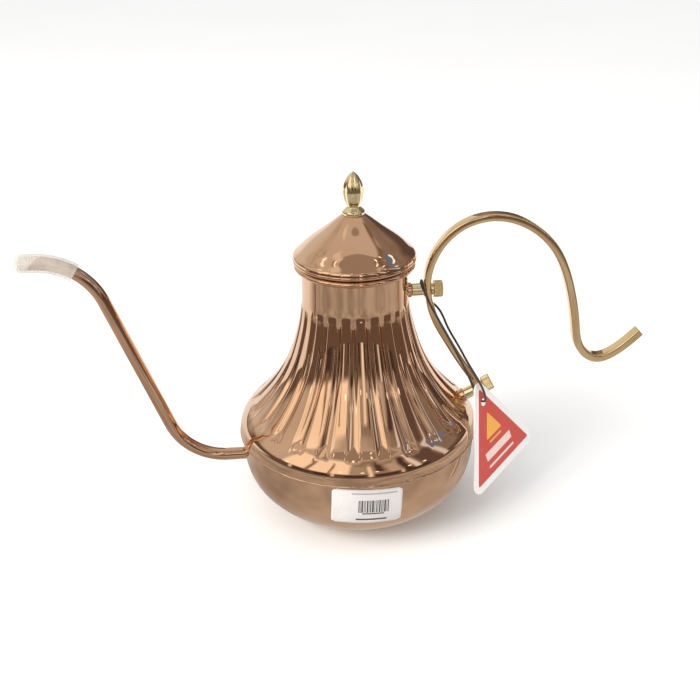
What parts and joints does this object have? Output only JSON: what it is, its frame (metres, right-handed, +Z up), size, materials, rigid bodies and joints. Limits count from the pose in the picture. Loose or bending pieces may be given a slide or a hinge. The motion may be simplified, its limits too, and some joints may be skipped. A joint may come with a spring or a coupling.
{
  "type": "gooseneck kettle",
  "caption": "Rose-gold gooseneck kettle with a fluted bell body, thin S-curved spout, open brass hook handle on two thumb screws and a lift-off lid with a bud finial.",
  "frame": {"origin": "centre of the flat base, on the table", "axes": "+Z up, +X towards the handle, -X towards the spout; handle and spout lie in the plane Y = 0"},
  "size_m": [0.3094, 0.122, 0.1779],
  "materials": {
    "rose_gold_steel": "mirror polished stainless steel with a rose-gold coating",
    "polished_brass": "polished brass with fine handling marks",
    "plain_steel": "plain steel fixings",
    "clear_sleeve": "soft milky clear plastic",
    "label_paper": "matt coated sticker, blank apart from plain bars",
    "tag_card": "laminated card, red field with a white edge",
    "black_elastic": "braided elastic cord"
  },
  "bodies": {
    "kettle": {"lower_bowl": "rose_gold_steel", "bell_shell": "rose_gold_steel", "spout_tube": "rose_gold_steel", "upper_boss": "rose_gold_steel", "lower_boss": "rose_gold_steel", "upper_spacer": "polished_brass", "lower_spacer": "polished_brass", "handle_strap": "polished_brass", "price_label": "label_paper", "tag_cord": "black_elastic"},
    "lid": {"lid_shell": "rose_gold_steel", "lid_plug": "rose_gold_steel", "finial": "polished_brass", "finial_screw": "plain_steel", "finial_washer": "plain_steel"},
    "upper_screw": {"upper_thumb_screw": "polished_brass"},
    "lower_screw": {"lower_thumb_screw": "polished_brass"},
    "sleeve": {"spout_sleeve": "clear_sleeve"},
    "tag": {"hang_tag": "tag_card"}
  },
  "joints": [
    {"name": "lid_lift", "type": "slide", "parent": "kettle", "child": "lid", "axis": [0, 0, 1], "range_m": [0, 0.03]},
    {"name": "upper_screw_turn", "type": "hinge", "parent": "kettle", "child": "upper_screw", "pos_m": [0.036, 0, 0.1165], "axis": [1, 0, 0], "range_deg": [0, 720]},
    {"name": "lower_screw_turn", "type": "hinge", "parent": "kettle", "child": "lower_screw", "pos_m": [0.0637, 0, 0.0594], "axis": [0.891, 0, 0.454], "range_deg": [0, 720]},
    {"name": "sleeve_pull", "type": "hinge", "parent": "kettle", "child": "sleeve", "pos_m": [-0.15261, 0, 0.108], "axis": [0, -1, 0], "range_deg": [0, 38]},
    {"name": "tag_swing", "type": "hinge", "parent": "kettle", "child": "tag", "pos_m": [0.06294, -0.01567, 0.05897], "axis": [-0.672, -0.7281, -0.1351], "range_deg": [0, 8]}
  ]
}
